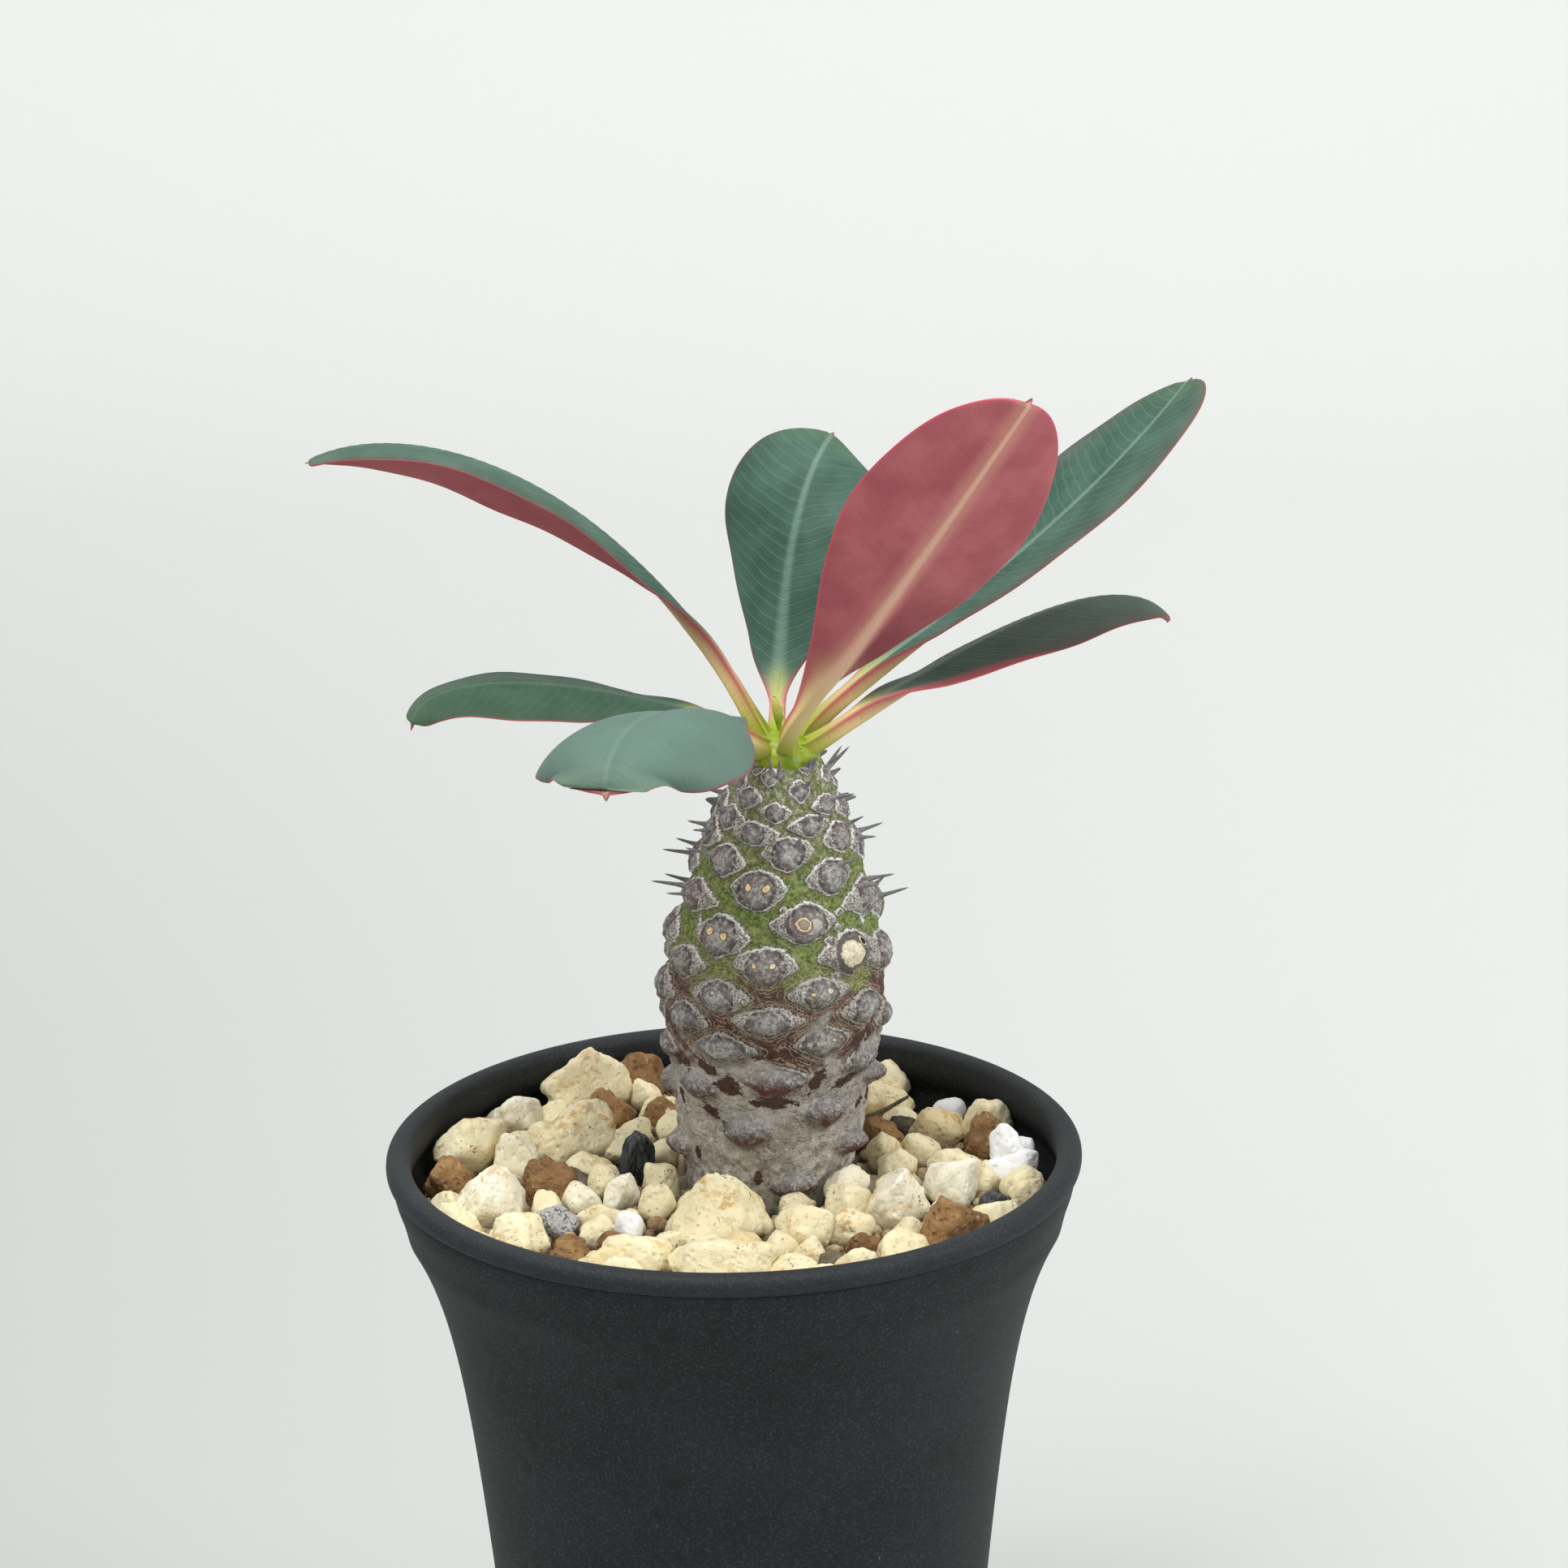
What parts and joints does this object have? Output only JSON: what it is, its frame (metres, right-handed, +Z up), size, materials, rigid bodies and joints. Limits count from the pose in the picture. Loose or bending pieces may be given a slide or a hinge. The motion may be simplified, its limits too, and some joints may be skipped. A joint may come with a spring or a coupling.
{
  "type": "potted euphorbia pachypodioides",
  "caption": "Small potted succulent with a swollen knobbly thorned stem and a crown of long paddle leaves, in a flared plastic pot of pale grit.",
  "frame": {"origin": "centre of the pot's flat base, on the plane that it stands on", "axes": "+Z up through the pot and the plant; -Y towards the viewer of the picture, +X to its right"},
  "size_m": [0.1158, 0.09, 0.2026],
  "materials": {
    "pot_plastic": "matte black moulded plastic with a fine grain",
    "cream_grit": "dry porous cream pumice",
    "brown_clay": "rough baked clay",
    "charcoal": "matte charcoal with a wood grain",
    "white_perlite": "white foamed mineral grain",
    "grey_granite": "speckled grey stone",
    "stem_bark": "green skin and silvery peeling bark, matte",
    "tip_green": "smooth bright green young tissue",
    "leaf": "fleshy satin leaf, blue-green above and crimson below"
  },
  "bodies": {
    "root": {"pot": "pot_plastic", "gravel_bed": "cream_grit", "clay_grain_1": "brown_clay", "clay_grain_2": "brown_clay", "clay_grain_3": "brown_clay", "clay_grain_4": "brown_clay", "clay_grain_5": "brown_clay", "clay_grain_6": "brown_clay", "clay_grain_7": "brown_clay", "clay_grain_8": "brown_clay", "charcoal_chip_1": "charcoal", "charcoal_chip_2": "charcoal", "charcoal_chip_3": "charcoal", "white_grain_1": "white_perlite", "white_grain_2": "white_perlite", "white_grain_3": "white_perlite", "grey_stone_1": "grey_granite", "stem": "stem_bark", "growing_tip": "tip_green", "leaf_upper_left": "leaf", "leaf_lower_left": "leaf", "leaf_front": "leaf", "leaf_back": "leaf", "leaf_near_right": "leaf", "leaf_upper_right": "leaf", "leaf_lower_right": "leaf"}
  },
  "joints": []
}
